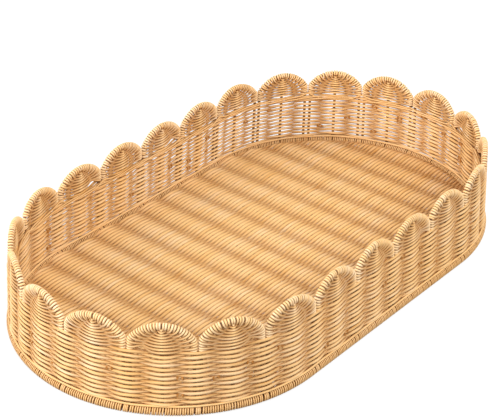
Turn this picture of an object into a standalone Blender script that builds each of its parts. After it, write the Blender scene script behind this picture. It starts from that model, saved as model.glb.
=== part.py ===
"""Woven changing basket: a low wicker tray with rounded ends and a scalloped rim.

A wire frame carries the weave. A base frame, a hoop crossed by the floor's bars,
lies on the floor. Arch frames stand on it side by side and form the scallops,
each an upside-down U of rod with a stake under its middle. Cane cord is wound
round the hoop, woven through the rods as the wall, the scallops and the floor,
and laid inside the wall as a band of waling below the scallops.

Units are metres and +Z is up. The origin is on the floor under the middle of
the basket, with +X along its length.
"""

import math

import bmesh
import bpy
from mathutils import Vector

# Overall size, measured on the middle of the wall's thickness at the rim
BASKET_LENGTH = 0.760
BASKET_WIDTH = 0.418
RIM_HEIGHT = 0.128
WALL_LEAN = 0.0063

# The scalloped rim: how many scallops, how many of their widths the first one's
# middle lies along the wall from the middle of the near side, how far a crown
# stands above the notches beside it, and how far its weave reaches below them
SCALLOP_COUNT = 24
FIRST_SCALLOP_SHARE = -4.40
SCALLOP_RISE = 0.0240
SCALLOP_SKIRT = 0.0150

# Rods of the frame
ROD_RADIUS = 0.0020
HOOP_ROD_RADIUS = 0.0025
FLOOR_BAR_RADIUS = 0.0018

# Woven and wound parts; a waist is how much nearer its middle a weave's face
# lies midway between two rods than at them
WALL_THICKNESS = 0.0080
WALL_WAIST = 0.0022
SCALLOP_EDGE_CHAMFER = 0.0024
HOOP_WRAP_RADIUS = 0.0062
CORD_DIAMETER = 0.0027
WALING_CORDS = 3
FLOOR_THICKNESS = 0.0082
FLOOR_WAIST = 0.0025
FLOOR_BAR_COUNT = 15
FLOOR_END_ROOM = 0.0615

# Clearances and overruns
SEAT_GAP = 0.0003
ROD_CLEARANCE = 0.0003
WALING_DROP = 0.0020
CUT_OVERRUN = 0.0100

# Facets: fineness of round rods, steps of the arch and of the hoop's wrap, and
# stations along the wall for each scallop
ROD_BEVEL_RESOLUTION = 1
HOOP_BEVEL_RESOLUTION = 2
ARCH_STEPS = 8
WRAP_STEPS = 7
WRAP_BORE_STEPS = 5
STATIONS_PER_SCALLOP = 4
HALVES = 2

# The sine of the least turn that counts as a corner in a plan outline, the
# distance between points that weld as a share of the rods' clearance, and the
# least angle of a sharp edge
STRAIGHTNESS_SHARE = 0.001
WELD_SHARE = 0.05
SHARP_EDGE_DEGREES = 50

# The wall comes in four panels, cut midway between a stake and a valley; each
# entry is the panel's name and how many scallops it is long, and the share is
# how many scallops past the first one's middle the first panel starts
WALL_PANEL_SPANS = (("front", 4), ("right", 8), ("back", 4), ("left", 8))
FIRST_PANEL_START_SHARE = 2.25

# Sizes worked out from those above
END_RADIUS = BASKET_WIDTH / 2
STRAIGHT = BASKET_LENGTH - BASKET_WIDTH
PERIMETER = 2 * STRAIGHT + 2 * math.pi * END_RADIUS
SCALLOP_WIDTH = PERIMETER / SCALLOP_COUNT
FIRST_SCALLOP = FIRST_SCALLOP_SHARE * SCALLOP_WIDTH
HALF_WALL = WALL_THICKNESS / 2
LEG_REACH = SCALLOP_WIDTH / 2 - HALF_WALL
CROWN_RADIUS = ((SCALLOP_WIDTH / 2) ** 2 + SCALLOP_RISE**2) / (2 * SCALLOP_RISE)
CROWN_CENTRE = RIM_HEIGHT - CROWN_RADIUS
ARCH_RADIUS = CROWN_RADIUS - HALF_WALL
WALL_TOP = RIM_HEIGHT - SCALLOP_RISE - SCALLOP_SKIRT
FLOOR_BAR_SPACING = (BASKET_LENGTH - 2 * FLOOR_END_ROOM) / (FLOOR_BAR_COUNT - 1)
HOOP_HEIGHT = HOOP_WRAP_RADIUS
ROD_FOOT = HOOP_HEIGHT + HOOP_ROD_RADIUS + SEAT_GAP
WALL_FOOT = HOOP_HEIGHT + HOOP_WRAP_RADIUS + SEAT_GAP
WALING_HEIGHT = WALING_CORDS * CORD_DIAMETER
WALING_TOP = WALL_TOP - WALING_DROP


def clear_scene():
    """Remove every object, so the script also runs in a used file."""
    for old in list(bpy.data.objects):
        bpy.data.objects.remove(old, do_unlink=True)


def make_collection(name):
    """Return a new collection in the scene."""
    collection = bpy.data.collections.new(name)
    bpy.context.scene.collection.children.link(collection)
    return collection


def make_material(name, colour, roughness, metallic):
    """Return a Principled material of one colour."""
    material = bpy.data.materials.new(name)
    material.use_nodes = True
    shader = material.node_tree.nodes["Principled BSDF"]
    shader.inputs["Base Color"].default_value = (*colour, 1.0)
    shader.inputs["Roughness"].default_value = roughness
    shader.inputs["Metallic"].default_value = metallic
    return material


def lean_at(height):
    """Return how far the wall stands out of the rim's line at a height."""
    return WALL_LEAN * (1 - height / RIM_HEIGHT)


def wall_point(along, outward, height):
    """Return the world point of a place on the wall.

    The wall's middle line is a stadium: along is the length run on it from the
    middle of the near side, counter-clockwise, and outward is square to it.
    """
    reach = outward + lean_at(height)
    run = (along + STRAIGHT / 2) % PERIMETER
    bend = math.pi * END_RADIUS
    if run < STRAIGHT:
        return Vector((run - STRAIGHT / 2, -END_RADIUS - reach, height))
    if run < STRAIGHT + bend:
        angle = (run - STRAIGHT) / END_RADIUS - math.pi / 2
        centre = STRAIGHT / 2
    elif run < 2 * STRAIGHT + bend:
        back_run = run - STRAIGHT - bend
        return Vector((STRAIGHT / 2 - back_run, END_RADIUS + reach, height))
    else:
        angle = (run - 2 * STRAIGHT - bend) / END_RADIUS + math.pi / 2
        centre = -STRAIGHT / 2
    radius = END_RADIUS + reach
    return Vector((centre + radius * math.cos(angle), radius * math.sin(angle), height))


def without_straight_runs(points):
    """Return the points of a closed plan line that turn a corner."""
    kept = []
    for number, point in enumerate(points):
        before = (point - points[number - 1]).normalized()
        after = (points[(number + 1) % len(points)] - point).normalized()
        if before.cross(after).length > STRAIGHTNESS_SHARE:
            kept.append(point)
    return kept


def scallop_middle(index):
    """Return the run along the wall to the middle of one scallop."""
    return FIRST_SCALLOP + index * SCALLOP_WIDTH


def new_object(name, data, material, collection):
    """Return a new object that holds the data and shows the material."""
    thing = bpy.data.objects.new(name, data)
    if not data.materials:
        data.materials.append(material)
    collection.objects.link(thing)
    return thing


def shade_round(mesh):
    """Shade a mesh smooth but for its sharp edges."""
    mesh.shade_smooth()
    mesh.set_sharp_from_angle(angle=math.radians(SHARP_EDGE_DEGREES))


def rod_curve(name, runs, radius, resolution):
    """Return a curve object that is a round rod along each run of points."""
    curve = bpy.data.curves.new(name, "CURVE")
    curve.dimensions = "3D"
    curve.twist_mode = "Z_UP"
    curve.bevel_depth = radius
    curve.bevel_resolution = resolution
    curve.use_fill_caps = True
    for points in runs:
        add_spline(curve, points, False)
    thing = bpy.data.objects.new(name, curve)
    bpy.context.scene.collection.objects.link(thing)
    return thing


def add_spline(curve, points, closed):
    """Add a run of straight steps to a curve."""
    spline = curve.splines.new("POLY")
    spline.points.add(len(points) - 1)
    spline.use_cyclic_u = closed
    for knot, point in zip(spline.points, points):
        knot.co = (*point, 1.0)


def flat_curve(name, outlines, half_depth, chamfer):
    """Return a filled 2D curve object; outlines inside the first are holes."""
    curve = bpy.data.curves.new(name, "CURVE")
    curve.dimensions = "2D"
    curve.fill_mode = "BOTH"
    curve.extrude = half_depth - chamfer
    curve.bevel_depth = chamfer
    curve.bevel_resolution = 0
    curve.offset = -chamfer
    for outline in outlines:
        add_spline(curve, [(x, y, 0) for x, y in outline], True)
    thing = bpy.data.objects.new(name, curve)
    bpy.context.scene.collection.objects.link(thing)
    return thing


def mesh_from(thing):
    """Return the evaluated shape of an object as a welded mesh, and remove it."""
    graph = bpy.context.evaluated_depsgraph_get()
    graph.update()
    mesh = bpy.data.meshes.new_from_object(thing.evaluated_get(graph))
    work = bmesh.new()
    work.from_mesh(mesh)
    bmesh.ops.remove_doubles(work, verts=work.verts, dist=WELD_SHARE * ROD_CLEARANCE)
    bmesh.ops.recalc_face_normals(work, faces=work.faces)
    work.to_mesh(mesh)
    work.free()
    bpy.data.objects.remove(thing, do_unlink=True)
    return mesh


def bent_copy(name, mesh, middle):
    """Return a copy of a flat mesh laid along the wall at a run.

    In the flat mesh X runs along the wall, Y points out of it and Z is up.
    """
    copy = mesh.copy()
    copy.name = name
    for vertex in copy.vertices:
        flat = vertex.co
        vertex.co = wall_point(middle + flat.x, -flat.y, flat.z)
    return copy


def crown_arc(radius, reach):
    """Return flat points over a scallop's crown, as far as a reach to each side."""
    last = math.asin(reach / radius)
    angles = [last * (1 - 2 * step / ARCH_STEPS) for step in range(ARCH_STEPS + 1)]
    return [(radius * math.sin(turn), CROWN_CENTRE + radius * math.cos(turn)) for turn in angles]


def arch_path(foot):
    """Return the flat points of an arch rod: one leg, the crown, the other leg."""
    crown = [Vector((x, 0, height)) for x, height in crown_arc(ARCH_RADIUS, LEG_REACH)]
    return [Vector((LEG_REACH, 0, foot)), *crown, Vector((-LEG_REACH, 0, foot))]


def combine(name, mesh, others, operation, cutters):
    """Return a mesh joined with other meshes, or cut by them, by Booleans."""
    body = bpy.data.objects.new(name, mesh)
    cutters.objects.link(body)
    for number, other in enumerate(others):
        tool = bpy.data.objects.new(f"{name}_tool_{number}", other)
        tool.hide_render = True
        tool.display_type = "WIRE"
        cutters.objects.link(tool)
        step = body.modifiers.new(f"step_{number}", "BOOLEAN")
        step.operation = operation
        step.solver = "EXACT"
        step.object = tool
    return mesh_from(body)


def slice_for_bend(mesh):
    """Cut a flat mesh across its length, so that it bends in even steps."""
    work = bmesh.new()
    work.from_mesh(mesh)
    step = SCALLOP_WIDTH / STATIONS_PER_SCALLOP
    for number in range(1, STATIONS_PER_SCALLOP):
        place = Vector((step * number - SCALLOP_WIDTH / 2, 0, 0))
        parts = work.verts[:] + work.edges[:] + work.faces[:]
        bmesh.ops.bisect_plane(work, geom=parts, plane_co=place, plane_no=(1, 0, 0))
    work.to_mesh(mesh)
    work.free()


def flat_scallop_plate():
    """Return the flat, chamfered plate of one scallop's weave."""
    edge = SCALLOP_WIDTH / 2 - SEAT_GAP / 2
    foot = WALL_TOP + SEAT_GAP
    outline = [*crown_arc(CROWN_RADIUS, edge), (-edge, foot), (edge, foot)]
    plate = flat_curve("scallop_plate", [outline], HALF_WALL, SCALLOP_EDGE_CHAMFER)
    plate.rotation_euler = (math.pi / 2, 0, 0)
    bpy.context.view_layer.update()
    turn = plate.matrix_world.copy()
    mesh = mesh_from(plate)
    mesh.transform(turn)
    return mesh


def arch_and_stake(radius, foot):
    """Return the flat meshes of one arch rod and of the stake under its top.

    The arch leaves its legs upright, so its section is turned by the least twist.
    """
    arch = rod_curve("arch", [arch_path(foot)], radius, ROD_BEVEL_RESOLUTION)
    arch.data.twist_mode = "MINIMUM"
    stake_run = [Vector((0, 0, foot)), Vector((0, 0, CROWN_CENTRE + ARCH_RADIUS))]
    stake = rod_curve("stake", [stake_run], radius, ROD_BEVEL_RESOLUTION)
    return mesh_from(arch), mesh_from(stake)


def make_scallops(material, collection, cutters):
    """Make the woven scallops, each bored for its arch rod and its stake."""
    plate = flat_scallop_plate()
    slice_for_bend(plate)
    bores = arch_and_stake(ROD_RADIUS + ROD_CLEARANCE, WALL_TOP - CUT_OVERRUN)
    flat = combine("flat_scallop", plate, bores, "DIFFERENCE", cutters)
    for index in range(SCALLOP_COUNT):
        name = f"scallop_weave_{index + 1:02d}"
        new_object(name, bent_copy(name, flat, scallop_middle(index)), material, collection)


def make_arch_frames(material, collection, cutters):
    """Make the arch rods, each welded to the stake under its top."""
    arch, stake = arch_and_stake(ROD_RADIUS, ROD_FOOT)
    flat = combine("flat_arch", arch, [stake], "UNION", cutters)
    shade_round(flat)
    for index in range(SCALLOP_COUNT):
        name = f"arch_frame_{index + 1:02d}"
        new_object(name, bent_copy(name, flat, scallop_middle(index)), material, collection)


def rod_places():
    """Return the runs along the wall to every stake and every valley."""
    half = SCALLOP_WIDTH / 2
    return [scallop_middle(0) + number * half for number in range(HALVES * SCALLOP_COUNT)]


def hoop_path(name, radius, resolution):
    """Return a closed curve object along the hoop, round if it has a radius."""
    path = rod_curve(name, [], radius, resolution)
    points = [wall_point(along, 0, HOOP_HEIGHT) for along in rod_places()]
    add_spline(path.data, without_straight_runs(points), True)
    return path


def bar_places():
    """Return the x of each floor bar."""
    middle = (FLOOR_BAR_COUNT - 1) / 2
    return [(number - middle) * FLOOR_BAR_SPACING for number in range(FLOOR_BAR_COUNT)]


def floor_bar_mesh(name, radius):
    """Return the floor's bars, each from one side of the hoop to the other."""
    runs = []
    reach = END_RADIUS + lean_at(HOOP_HEIGHT)
    for x in bar_places():
        beyond = max(0, abs(x) - STRAIGHT / 2)
        half = math.sqrt(reach * reach - beyond * beyond)
        runs.append([Vector((x, -half, HOOP_HEIGHT)), Vector((x, half, HOOP_HEIGHT))])
    return mesh_from(rod_curve(name, runs, radius, ROD_BEVEL_RESOLUTION))


def make_base_frame(material, collection, cutters):
    """Make the hoop that the frame stands on, crossed by the floor's bars."""
    hoop = mesh_from(hoop_path("hoop", HOOP_ROD_RADIUS, HOOP_BEVEL_RESOLUTION))
    bars = floor_bar_mesh("bars", FLOOR_BAR_RADIUS)
    mesh = combine("base_frame_whole", hoop, [bars], "UNION", cutters)
    shade_round(mesh)
    new_object("base_frame", mesh, material, collection)


def arc_past_slot(radius, half_slot, steps):
    """Return points on a circle, from one side of a slot in its top to the other."""
    first = math.asin(half_slot / radius)
    turn = (2 * math.pi - 2 * first) / steps
    angles = [first + turn * number for number in range(steps + 1)]
    return [(radius * math.sin(angle), radius * math.cos(angle)) for angle in angles]


def make_base_wrap(material, collection, cutters):
    """Make the cord wound on the hoop as one sleeve, flat on the floor.

    It is open in a slot along its top, where the arch frames stand through it,
    and bored where the floor's bars come in.
    """
    slot = ROD_RADIUS + ROD_CLEARANCE
    outer_radius = HOOP_WRAP_RADIUS / math.cos(math.pi / (WRAP_STEPS + 1))
    bore_radius = (HOOP_ROD_RADIUS + ROD_CLEARANCE) / math.cos(math.pi / WRAP_BORE_STEPS)
    outer = arc_past_slot(outer_radius, slot, WRAP_STEPS)
    bore = arc_past_slot(bore_radius, slot, WRAP_BORE_STEPS)
    section = bpy.data.objects.new("wrap_section", bpy.data.curves.new("wrap_section", "CURVE"))
    section.data.dimensions = "2D"
    section.hide_render = True
    cutters.objects.link(section)
    add_spline(section.data, [(x, y, 0) for x, y in outer + bore[::-1]], True)
    sleeve = hoop_path("sleeve", 0, 0)
    sleeve.data.bevel_mode = "OBJECT"
    sleeve.data.bevel_object = section
    whole = mesh_from(sleeve)
    lowest = min(vertex.co.z for vertex in whole.vertices)
    for vertex in whole.vertices:
        vertex.co.z -= lowest
    bars = floor_bar_mesh("bar_bores", FLOOR_BAR_RADIUS + ROD_CLEARANCE)
    mesh = combine("base_wrap_whole", whole, [bars], "DIFFERENCE", cutters)
    new_object("base_wrap", mesh, material, collection)


def plan_hole(along, half_length, half_width, height):
    """Return the plan outline of a four-sided hole for upright rods."""
    corners = ((-1, -1), (1, -1), (1, 1), (-1, 1))
    hole = []
    for side, out in corners:
        point = wall_point(along + side * half_length, out * half_width, height)
        hole.append((point.x, point.y))
    return hole


def make_wall_panel(name, start, scallops, material, collection):
    """Make one stretch of the woven wall, with holes for its rods.

    The panel is drawn in plan at the rim's line and pushed out at its foot by
    the lean, as the rods are. Every other station, midway between two rods, is
    in the weave's waist.
    """
    step = SCALLOP_WIDTH / STATIONS_PER_SCALLOP
    count = scallops * STATIONS_PER_SCALLOP
    stations = [start + step * number for number in range(count + 1)]
    stations[0] += SEAT_GAP / 2
    stations[-1] -= SEAT_GAP / 2
    depths = [HALF_WALL - WALL_WAIST * (number % HALVES == 0) for number in range(count + 1)]
    outer = [wall_point(along, depth, RIM_HEIGHT) for along, depth in zip(stations, depths)]
    inner = [wall_point(along, -depth, RIM_HEIGHT) for along, depth in zip(stations, depths)]
    edge = without_straight_runs(outer + inner[::-1])
    outlines = [[(point.x, point.y) for point in edge]]
    reach = ROD_RADIUS + ROD_CLEARANCE
    pair_reach = HALF_WALL + ROD_RADIUS + ROD_CLEARANCE
    for number in range(HALVES * scallops):
        along = start + step + number * SCALLOP_WIDTH / 2
        at_valley = number % HALVES == 0
        outlines.append(plan_hole(along, pair_reach if at_valley else reach, reach, RIM_HEIGHT))
    half_height = (WALL_TOP - WALL_FOOT) / 2
    mesh = mesh_from(flat_curve(name, outlines, half_height, 0))
    middle = WALL_FOOT + half_height
    for vertex in mesh.vertices:
        vertex.co = leaned(vertex.co.x, vertex.co.y, vertex.co.z + middle)
    new_object(name, mesh, material, collection)


def leaned(x, y, height):
    """Return a plan point drawn at the rim's line, pushed out by the lean."""
    core = Vector((max(-STRAIGHT / 2, min(STRAIGHT / 2, x)), 0, 0))
    spoke = Vector((x, y, 0)) - core
    moved = core + spoke.normalized() * (spoke.length + lean_at(height))
    return Vector((moved.x, moved.y, height))


def make_wall_weave(material, collection):
    """Make the woven wall below the scallops, in four panels."""
    start = FIRST_SCALLOP + FIRST_PANEL_START_SHARE * SCALLOP_WIDTH
    for side, scallops in WALL_PANEL_SPANS:
        make_wall_panel(f"wall_weave_{side}", start, scallops, material, collection)
        start += scallops * SCALLOP_WIDTH


def ring_outline(outward, height, stations):
    """Return a closed plan outline at one distance from the wall's middle."""
    points = [wall_point(along, outward, height) for along in stations]
    return [(point.x, point.y) for point in without_straight_runs(points)]


def make_inner_waling(material, collection):
    """Make the band of cords laid inside the wall below the scallops."""
    step = SCALLOP_WIDTH / STATIONS_PER_SCALLOP
    count = SCALLOP_COUNT * STATIONS_PER_SCALLOP
    stations = [FIRST_SCALLOP + step * number for number in range(count)]
    outer = ring_outline(-HALF_WALL - SEAT_GAP, RIM_HEIGHT, stations)
    inner = ring_outline(-HALF_WALL - SEAT_GAP - CORD_DIAMETER, RIM_HEIGHT, stations)
    mesh = mesh_from(flat_curve("inner_waling", [outer, inner], WALING_HEIGHT / 2, 0))
    middle = WALING_TOP - WALING_HEIGHT / 2
    for vertex in mesh.vertices:
        vertex.co = leaned(vertex.co.x, vertex.co.y, vertex.co.z + middle)
    new_object("inner_waling", mesh, material, collection)


def shape_floor_waists(mesh):
    """Thin a flat plate midway between the floor's bars.

    The plate is cut across at each bar and midway between, so that its faces
    run in flat slopes from one to the other.
    """
    work = bmesh.new()
    work.from_mesh(mesh)
    half_step = FLOOR_BAR_SPACING / 2
    for bar in bar_places():
        for place in (bar - half_step, bar, bar + half_step):
            parts = work.verts[:] + work.edges[:] + work.faces[:]
            bmesh.ops.bisect_plane(work, geom=parts, plane_co=(place, 0, 0), plane_no=(1, 0, 0))
    for vertex in work.verts:
        nearest = min(abs(vertex.co.x - bar) for bar in bar_places())
        depth = FLOOR_THICKNESS / 2 - FLOOR_WAIST * min(1, nearest / half_step)
        vertex.co.z = math.copysign(depth, vertex.co.z)
    work.to_mesh(mesh)
    work.free()


def make_floor_weave(material, collection, cutters):
    """Make the woven floor as a plate with waists, bored for its bars."""
    outward = -HOOP_WRAP_RADIUS / math.cos(math.pi / (WRAP_STEPS + 1)) - SEAT_GAP
    edge = ring_outline(outward, HOOP_HEIGHT, rod_places())
    plate = mesh_from(flat_curve("floor_plate", [edge], FLOOR_THICKNESS / 2, 0))
    shape_floor_waists(plate)
    for vertex in plate.vertices:
        vertex.co.z += HOOP_HEIGHT
    bores = floor_bar_mesh("floor_bores", FLOOR_BAR_RADIUS + ROD_CLEARANCE)
    mesh = combine("floor_whole", plate, [bores], "DIFFERENCE", cutters)
    new_object("floor_weave", mesh, material, collection)


def build():
    """Make every piece of the basket."""
    clear_scene()
    basket = make_collection("changing_basket")
    cutters = make_collection("cutters")
    cane = make_material("woven_cane", (0.80, 0.56, 0.29), 0.55, 0.0)
    rim_cane = make_material("rim_cane", (0.86, 0.65, 0.38), 0.5, 0.0)
    wire = make_material("frame_wire", (0.34, 0.22, 0.12), 0.5, 0.6)
    make_base_frame(wire, basket, cutters)
    make_base_wrap(rim_cane, basket, cutters)
    make_floor_weave(cane, basket, cutters)
    make_arch_frames(wire, basket, cutters)
    make_wall_weave(cane, basket)
    make_inner_waling(cane, basket)
    make_scallops(rim_cane, basket, cutters)


build()
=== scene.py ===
"""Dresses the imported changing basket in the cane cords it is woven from.

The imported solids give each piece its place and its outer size. Here every woven
or wound solid is replaced by its real cords: rows that pass in front of one rod
and behind the next, scallops whose rows bend up and wrap round the arch rod, a
twisted band inside the wall, a woven floor and a cord wound on the base hoop.
The wire rods are replaced by rounder ones.

Units are metres, +Z is up and the origin is on the floor under the middle of
the basket, with +X along its length.
"""

import logging
import math
from dataclasses import dataclass
from enum import Enum

import bpy
import numpy as np
from mathutils import Matrix, Vector


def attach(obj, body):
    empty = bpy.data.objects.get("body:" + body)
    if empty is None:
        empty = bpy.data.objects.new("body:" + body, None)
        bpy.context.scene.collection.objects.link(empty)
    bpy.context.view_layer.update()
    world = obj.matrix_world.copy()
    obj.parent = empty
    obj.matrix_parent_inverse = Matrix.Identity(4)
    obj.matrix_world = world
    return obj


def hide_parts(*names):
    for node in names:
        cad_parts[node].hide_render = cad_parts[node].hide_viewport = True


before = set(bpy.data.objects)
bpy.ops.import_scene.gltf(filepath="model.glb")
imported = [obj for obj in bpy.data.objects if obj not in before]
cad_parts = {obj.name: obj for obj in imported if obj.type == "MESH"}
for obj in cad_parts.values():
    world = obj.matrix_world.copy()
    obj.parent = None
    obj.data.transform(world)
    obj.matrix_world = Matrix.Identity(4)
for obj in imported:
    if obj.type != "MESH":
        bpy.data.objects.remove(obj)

LOG = logging.getLogger("changing_basket")
BODY = "root"

Array = np.ndarray
Number = float | Array
Pair = tuple[float, float]
Colour = tuple[float, float, float]
Socket = bpy.types.NodeSocket

# The directions of a place on the wall. UP is also the world's, and OUTWARD its Y.
ALONG, OUTWARD, UP = np.eye(3)


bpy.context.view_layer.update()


def join(first: Number, second: Number, third: Number) -> Array:
    """Return points (..., 3) from three coordinates that broadcast together."""
    return np.stack(np.broadcast_arrays(first, second, third), axis=-1)


def between(low: Number, high: Number, share: Number) -> Number:
    """Return the number a share of the way from low to high."""
    return low + (high - low) * share


def shown(name: str, data: bpy.types.ID) -> bpy.types.Object:
    """Return a new object in the scene that holds a mesh, lamp or camera.

    Args:
        name: the object's name.
        data: what it holds.

    Returns:
        the object, at the origin.
    """
    thing = bpy.data.objects.new(name, data)
    bpy.context.scene.collection.objects.link(thing)
    return thing


class Side(Enum):
    """The four panels of the wall: the node's ending and the length in scallops."""

    FRONT = ("front", 4)
    RIGHT = ("right", 8)
    BACK = ("back", 4)
    LEFT = ("left", 8)

    def __init__(self, label: str, scallops: int) -> None:
        """Keep the two parts of the value under their names."""
        self.label = label
        self.scallops = scallops


class Slot(Enum):
    """The record's material slots."""

    CANE = "cane"
    RIM = "rim_cane"
    WIRE = "frame_wire"


@dataclass(frozen=True)
class WallLine:
    """The stadium line that the wall stands on, its scallops and the floor's bars.

    Attributes:
        length, width: the line's size at the rim.
        lean: how much further out the wall stands at the floor than at the rim.
        first_scallop_share: run to the first one's middle, in scallop widths.
        scallop_rise: height of a tip over the notches.
        scallop_skirt: height of the scallops' weave below the notches.
        slack_middle: run at which the wall is woven most loosely.
        slack_reach: run from there to where it is tight again.
        bar_end_room: distance from the line's ends to the first and last bar.
        nudge: the small move from which directions on the wall are worked out.
    """

    length: float = 0.760
    width: float = 0.418
    rim_height: float = 0.128
    lean: float = 0.0063
    half_wall: float = 0.0040
    scallops: int = 24
    first_scallop_share: float = -4.40
    scallop_rise: float = 0.0240
    scallop_skirt: float = 0.0150
    hoop_height: float = 0.0062
    slack_middle: float = 0.80
    slack_reach: float = 0.34
    bars: int = 15
    bar_end_room: float = 0.0615
    nudge: float = 1e-5

    @property
    def end_radius(self) -> float:
        """The radius of the round ends at the rim."""
        return self.width / 2

    @property
    def straight(self) -> float:
        """The length of each straight side."""
        return self.length - self.width

    @property
    def perimeter(self) -> float:
        """The length of the whole line."""
        return 2 * self.straight + 2 * math.pi * self.end_radius

    @property
    def scallop_width(self) -> float:
        """The run along the line that one scallop takes."""
        return self.perimeter / self.scallops

    @property
    def rod_step(self) -> float:
        """The run from a stake to the valley next to it."""
        return self.scallop_width / 2

    @property
    def first_scallop(self) -> float:
        """The run to the middle of the first scallop."""
        return self.first_scallop_share * self.scallop_width

    @property
    def leg_reach(self) -> float:
        """The run from a stake to the legs of its arch."""
        return self.scallop_width / 2 - self.half_wall

    @property
    def crown_radius(self) -> float:
        """The radius of a scallop's top edge."""
        return ((self.scallop_width / 2) ** 2 + self.scallop_rise**2) / (2 * self.scallop_rise)

    @property
    def crown_centre(self) -> float:
        """The height of the middle of that edge's circle."""
        return self.rim_height - self.crown_radius

    @property
    def arch_radius(self) -> float:
        """The radius of an arch rod's path over the crown."""
        return self.crown_radius - self.half_wall

    @property
    def corner_turn(self) -> float:
        """The angle from upright at which the crown meets its legs."""
        return math.asin(self.leg_reach / self.arch_radius)

    @property
    def corner_height(self) -> float:
        """The height at which the crown meets its legs."""
        return self.crown_centre + self.arch_radius * math.cos(self.corner_turn)

    @property
    def wall_top(self) -> float:
        """The height at which the scallops' weave starts."""
        return self.rim_height - self.scallop_rise - self.scallop_skirt

    @property
    def hoop_end_radius(self) -> float:
        """The radius of the round ends of the base hoop."""
        return self.end_radius + self.lean_at(self.hoop_height)

    @property
    def bar_step(self) -> float:
        """The distance between two floor bars."""
        return (self.length - 2 * self.bar_end_room) / (self.bars - 1)

    def middle(self, number: Number) -> Number:
        """Return the run to a scallop's middle, or to a share between two."""
        return self.first_scallop + number * self.scallop_width

    def slack_at(self, along: Number) -> Number:
        """Return how loosely the wall is woven at each run.

        It is a raised cosine round the far right corner, where the weave opens.

        Args:
            along: runs along the line.

        Returns:
            0 where the weave is tight, to 1 where it is loosest.
        """
        past = np.mod(along - self.slack_middle + self.perimeter / 2, self.perimeter)
        share = np.clip((past - self.perimeter / 2) / self.slack_reach, -1, 1)
        return 0.5 + 0.5 * np.cos(math.pi * share)

    def lean_at(self, height: Number) -> Number:
        """Return how far the wall stands out of the rim's line at each height."""
        return self.lean * (1 - height / self.rim_height)

    def point(self, place: Array) -> Array:
        """Return world points from places on the wall.

        A run along the line is spent on the near side, the right bend, the far
        side and the left bend in turn. The bends turn the outward direction, and
        the straight sides move the centre that it starts from.

        Args:
            place: array (..., 3) of the run along the line from the middle of the
                near side, the distance outward of it, and the height.

        Returns:
            array (..., 3) of world points.
        """
        along, outward, height = place[..., 0], place[..., 1], place[..., 2]
        run = np.mod(along + self.straight / 2, self.perimeter)
        bend = math.pi * self.end_radius
        right = np.clip(run - self.straight, 0, bend)
        left = np.clip(run - 2 * self.straight - bend, 0, bend)
        angle = (right + left) / self.end_radius - math.pi / 2
        near = np.clip(run, 0, self.straight)
        far = np.clip(run - self.straight - bend, 0, self.straight)
        centre = near - far - self.straight / 2
        reach = self.end_radius + outward + self.lean_at(height)
        return join(centre + reach * np.cos(angle), reach * np.sin(angle), height)

    def step(self, place: Array, move: Array) -> Array:
        """Return the world direction of a small move from each place on the wall."""
        return (self.point(place + self.nudge * move) - self.point(place)) / self.nudge


@dataclass(frozen=True)
class Wander:
    """Smooth seeded noise along a closed run, one lane for each cord.

    It is a sum of sines whose whole number of waves fits the period, each with
    its own random phase, so it closes on itself.

    Attributes:
        seed: starts the random phases and strengths.
        waves: how many waves of each sine fit the period.
        size: about how high the noise is.
    """

    seed: int
    waves: tuple[int, ...]
    size: float

    def at(self, along: Array, period: float, lanes: int) -> Array:
        """Return the noise of every lane at each run.

        Args:
            along: array (stations,) of runs.
            period: the run after which the noise repeats.
            lanes: how many lanes to make.

        Returns:
            array (lanes, stations).
        """
        dice = np.random.default_rng(self.seed)
        phase = dice.uniform(0, 2 * math.pi, (lanes, len(self.waves), 1))
        share = dice.uniform(0.5, 1.0, (lanes, len(self.waves), 1))
        turn = 2 * math.pi * np.array(self.waves)[None, :, None] / period
        sines = share * np.sin(turn * along[None, None, :] + phase)
        return self.size * sines.sum(axis=1) / math.sqrt(len(self.waves))


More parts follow.
